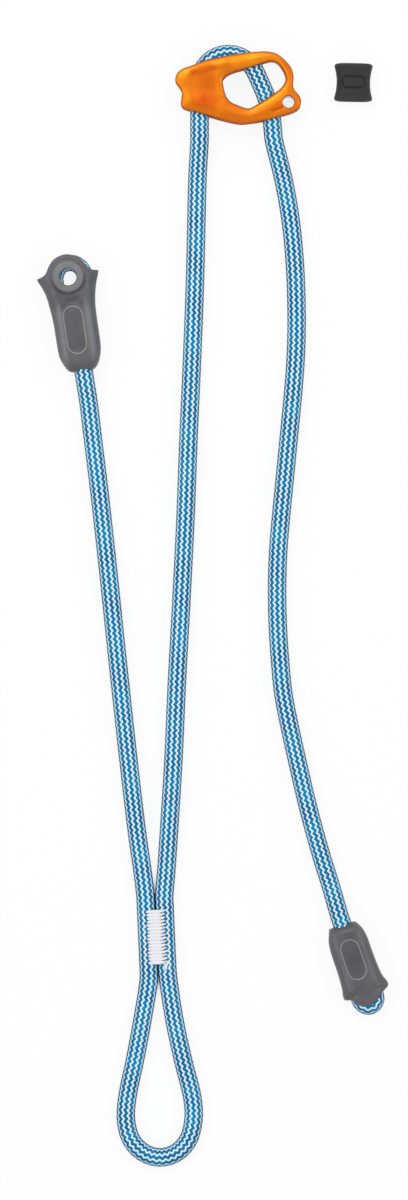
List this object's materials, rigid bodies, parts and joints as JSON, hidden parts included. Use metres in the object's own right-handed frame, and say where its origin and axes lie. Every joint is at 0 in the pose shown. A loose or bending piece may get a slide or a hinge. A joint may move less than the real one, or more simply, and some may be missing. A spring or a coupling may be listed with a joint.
{
  "type": "tree climbing lanyard",
  "caption": "Adjustable positioning lanyard of braided rope: sewn eye under a moulded sleeve, sewn tie-in loop, rope adjuster with orange plates, and a sewn tail stop.",
  "frame": {"origin": "middle of the floor area that the laid-out lanyard covers, on the floor", "axes": "+X to the right and +Y up the page as the lanyard lies, +Z off the floor"},
  "size_m": [0.1748, 0.561, 0.0161],
  "materials": {
    "rope_sheath": "tight braided polyamide sheath, white and blue zigzag, matt",
    "sewing_thread": "white bonded sewing thread",
    "sleeve_rubber": "satin grey moulded rubber",
    "retainer_rubber": "matt near-black moulded rubber",
    "orange_anodised": "forged plate, satin orange anodised",
    "steel": "bare stainless steel"
  },
  "bodies": {
    "lanyard": {"fixed_arm_rope": "rope_sheath", "fixed_end_eye_rope": "rope_sheath", "fixed_end_needle_thread": "sewing_thread", "fixed_end_bobbin_thread": "sewing_thread", "fixed_end_sleeve": "sleeve_rubber", "tie_in_loop_rope": "rope_sheath", "tie_in_needle_thread": "sewing_thread", "tie_in_bobbin_thread": "sewing_thread", "adjustable_arm_rope": "rope_sheath"},
    "rope_bight": {"adjuster_rope_bight": "rope_sheath"},
    "adjuster": {"adjuster_front_plate": "orange_anodised", "adjuster_rear_plate": "orange_anodised", "friction_bar": "steel", "nose_spacer": "steel", "guide_spacer": "steel", "ear_bush": "steel", "friction_bar_rivet": "steel", "nose_rivet": "steel", "guide_rivet": "steel"},
    "tail": {"tail_rope": "rope_sheath", "tail_end_eye_rope": "rope_sheath", "tail_end_needle_thread": "sewing_thread", "tail_end_bobbin_thread": "sewing_thread", "tail_end_sleeve": "sleeve_rubber"},
    "retainer": {"carabiner_retainer": "retainer_rubber"}
  },
  "joints": [
    {"name": "adjuster_slide", "type": "slide", "parent": "lanyard", "child": "rope_bight", "axis": [0.0429, 0.9991, 0], "range_m": [-0.2, 0.16], "deforming": ["adjustable_arm_rope"]},
    {"name": "adjuster_tilt", "type": "hinge", "parent": "rope_bight", "child": "adjuster", "pos_m": [0.00775, 0.26125, 0.00805], "axis": [0, 0, 1], "range_deg": [-3, 8]},
    {"name": "tail_feed", "type": "slide", "parent": "rope_bight", "child": "tail", "axis": [0.0429, 0.9991, 0], "range_m": [-0.2, 0.16], "deforming": ["tail_rope"]},
    {"name": "retainer_lift", "type": "slide", "parent": "lanyard", "child": "retainer", "axis": [0, 0, 1], "range_m": [0, 0.05]}
  ],
  "couplings": [
    {"joint": "tail_feed", "follows": "adjuster_slide", "ratio": 1}
  ]
}
